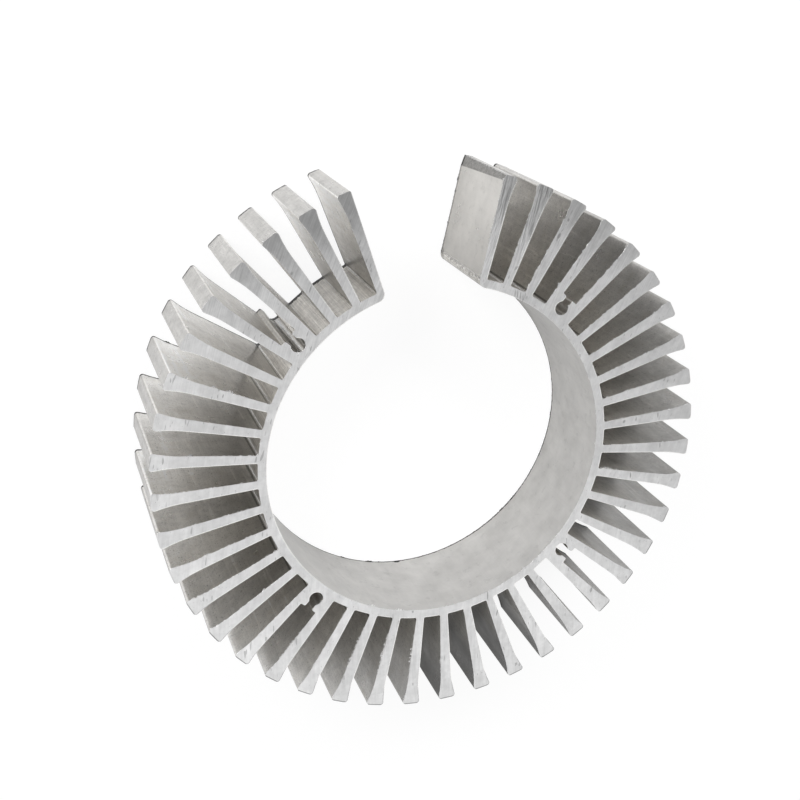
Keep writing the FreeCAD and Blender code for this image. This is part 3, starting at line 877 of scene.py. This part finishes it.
def burrs_along_cut(level, inward, reach, settings):
    """Thin ragged metal along one cut face's edges, just inside the plane of the cut."""
    shape, outward_layer = cut_outline(level)
    divide_outline(shape, settings.tooth_length)
    exit_way = Vector((math.cos(settings.exit_angle), math.sin(settings.exit_angle), 0))
    lift = Vector((0, 0, inward))
    torn = torn_edges(shape, outward_layer, exit_way)
    roots = list(shape.verts)
    root_of = {tuple(vertex.co): torn[vertex] for vertex in roots}
    grown = bmesh.ops.extrude_edge_only(shape, edges=list(shape.edges))["geom"]
    for vertex in (item for item in grown if isinstance(item, bmesh.types.BMVert)):
        amount, outward = root_of[tuple(vertex.co)]
        droop = DROOP * (0.4 + noise.noise(vertex.co / MM * 4.1))
        vertex.co += outward * min(amount, 1.0) * reach + lift * max(LEAST_DEPTH, droop)
    for vertex in roots:
        outward = torn[vertex][1]
        sink = SINK * (0.4 + noise.noise(vertex.co / MM * 3.3))
        vertex.co += lift * max(LEAST_DEPTH, sink) - outward * ROOT_OVERLAP * MM
    # The most torn places get a painted glint
    painted_glint = shape.verts.layers.float.new("painted_glint")
    for vertex in shape.verts:
        vertex[painted_glint] = extra_torn(vertex.co / MM)
    bmesh.ops.solidify(shape, geom=list(shape.faces), thickness=settings.thickness)
    bmesh.ops.recalc_face_normals(shape, faces=shape.faces)
    return shape


def keep_inside(shape):
    """Vertices held just inside the part's box."""
    low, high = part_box(NODE)
    for vertex in shape.verts:
        for axis in range(3):
            least, most = low[axis] + BOX_MARGIN, high[axis] - BOX_MARGIN
            vertex.co[axis] = min(max(vertex.co[axis], least), most)


def floor_material():
    """Pale floor that looks white and keeps a soft shadow."""
    material = bpy.data.materials.new("pale_floor")
    write = NodeWriter(material)
    path = write.add("ShaderNodeLightPath").outputs
    mirrored = write.math("MAXIMUM", path["Is Glossy Ray"], path["Is Transmission Ray"])
    # Painted glow: as metal mirrors it, the floor gives off more light on the side that the lamps
    # stand on
    place = write.add("ShaderNodeTexCoord").outputs["Object"]
    glow_nearness = write.spread(write.dot(place, GLOW_SIDE), -60 * MM, 70 * MM, 0.0, 1.0)
    mirrored_share = write.spread(write.product(glow_nearness, glow_nearness), 0.0, 1.0, *MIRRORED_SHARES)
    share = write.math(
        "MAXIMUM",
        write.product(path["Is Camera Ray"], CAMERA_SHARE),
        write.product(mirrored, mirrored_share),
    )
    white = write.add("ShaderNodeEmission", {"Strength": FLOOR_GLOW}).outputs[0]
    paper = write.add("ShaderNodeBsdfDiffuse", {"Color": grey(0.8)}).outputs[0]
    mixed = write.add("ShaderNodeMixShader", {0: share, 1: paper, 2: white}).outputs[0]
    write.add("ShaderNodeOutputMaterial", {"Surface": mixed})
    return material


def make_world(strength):
    """Even light all round, white where it is seen directly."""
    world = bpy.data.worlds.new("studio")
    write = NodeWriter(world)
    path = write.add("ShaderNodeLightPath")
    level = write.math("MAXIMUM", path.outputs["Is Camera Ray"], strength)
    background = write.add("ShaderNodeBackground", {"Color": grey(1.0), "Strength": level})
    write.add("ShaderNodeOutputWorld", {"Surface": background.outputs[0]})
    bpy.context.scene.world = world


def add_lamp(name, place, size, watts):
    """A soft square lamp aimed at the part."""
    data = bpy.data.lights.new(name, "AREA")
    data.shape = "SQUARE"
    data.size = size
    data.energy = watts
    lamp = bpy.data.objects.new(name, data)
    lamp.visible_camera = False
    lamp.location = place
    lamp.rotation_euler = (-Vector(place)).to_track_quat("-Z", "Y").to_euler()
    bpy.context.scene.collection.objects.link(lamp)


def add_floor(size):
    """A square floor just under the part."""
    mesh = bpy.data.meshes.new("floor")
    shape = bmesh.new()
    below = Matrix.Translation((0, 0, -FLOOR_DROP))
    bmesh.ops.create_grid(shape, x_segments=1, y_segments=1, size=size / 2, matrix=below)
    shape.to_mesh(mesh)
    shape.free()
    mesh.materials.append(floor_material())
    floor = bpy.data.objects.new("floor", mesh)
    bpy.context.scene.collection.objects.link(floor)


def add_camera(settings):
    """The camera, where the photograph was taken from."""
    data = bpy.data.cameras.new("camera")
    data.lens = settings.lens
    data.sensor_width = SENSOR_WIDTH
    data.shift_x, data.shift_y = settings.camera_shift
    data.clip_start = NEAREST_SEEN
    camera = bpy.data.objects.new("camera", data)
    camera.location = settings.camera_place
    camera.rotation_euler = Euler(settings.camera_turn, "XYZ")
    bpy.context.scene.collection.objects.link(camera)
    bpy.context.scene.camera = camera


class HEATSINK_OT_finish(bpy.types.Operator):
    """Give the extrusion its aluminium finish."""

    bl_idname = "heatsink.finish"
    bl_label = "Finish Heat Sink"

    def execute(self, context):
        part = frame["nodes"][NODE]
        part.data.materials.clear()
        part.data.materials.append(finish_material(context.scene.heatsink_finish))
        return {"FINISHED"}


class HEATSINK_OT_burrs(bpy.types.Operator):
    """Add the torn metal along the sawn edges."""

    bl_idname = "heatsink.burrs"
    bl_label = "Add Saw Burrs"

    def execute(self, context):
        settings = context.scene.heatsink_burrs
        material = burr_material()
        for name, level, inward, share in BURR_PIECES:
            shape = burrs_along_cut(level, inward, share * settings.reach, settings)
            keep_inside(shape)
            mesh = bpy.data.meshes.new(name)
            shape.to_mesh(mesh)
            shape.free()
            mesh.materials.append(material)
            burrs = bpy.data.objects.new(name, mesh)
            context.scene.collection.objects.link(burrs)
            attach(burrs, BODY)
        return {"FINISHED"}


class HEATSINK_OT_studio(bpy.types.Operator):
    """Set up the floor, the lamps and the camera."""

    bl_idname = "heatsink.studio"
    bl_label = "Set Up Studio"

    def execute(self, context):
        settings = context.scene.heatsink_studio
        context.scene.view_settings.view_transform = "Standard"
        add_floor(settings.floor_size)
        make_world(settings.world_strength)
        for lamp in LAMPS:
            add_lamp(*lamp)
        add_camera(settings)
        return {"FINISHED"}


class HEATSINK_PT_panel(bpy.types.Panel):
    """Sidebar panel of the heat sink's looks."""

    bl_label = "Heat Sink"
    bl_idname = "HEATSINK_PT_panel"
    bl_space_type = "VIEW_3D"
    bl_region_type = "UI"
    bl_category = "Heat Sink"

    def draw(self, context):
        for title, settings, operator in (
            ("Finish", context.scene.heatsink_finish, HEATSINK_OT_finish),
            ("Burrs", context.scene.heatsink_burrs, HEATSINK_OT_burrs),
            ("Studio", context.scene.heatsink_studio, HEATSINK_OT_studio),
        ):
            box = self.layout.box()
            box.label(text=title)
            for name in settings.__annotations__:
                box.prop(settings, name)
            box.operator(operator.bl_idname)


CLASSES = (
    HeatSinkFinishSettings,
    HeatSinkBurrSettings,
    HeatSinkStudioSettings,
    HEATSINK_OT_finish,
    HEATSINK_OT_burrs,
    HEATSINK_OT_studio,
    HEATSINK_PT_panel,
)


def register():
    for kind in CLASSES:
        bpy.utils.register_class(kind)
    bpy.types.Scene.heatsink_finish = PointerProperty(type=HeatSinkFinishSettings)
    bpy.types.Scene.heatsink_burrs = PointerProperty(type=HeatSinkBurrSettings)
    bpy.types.Scene.heatsink_studio = PointerProperty(type=HeatSinkStudioSettings)


def unregister():
    del bpy.types.Scene.heatsink_studio
    del bpy.types.Scene.heatsink_burrs
    del bpy.types.Scene.heatsink_finish
    for kind in reversed(CLASSES):
        bpy.utils.unregister_class(kind)


def main():
    register()
    bpy.ops.heatsink.finish()
    bpy.ops.heatsink.burrs()
    bpy.ops.heatsink.studio()


if __name__ == "__main__":
    main()
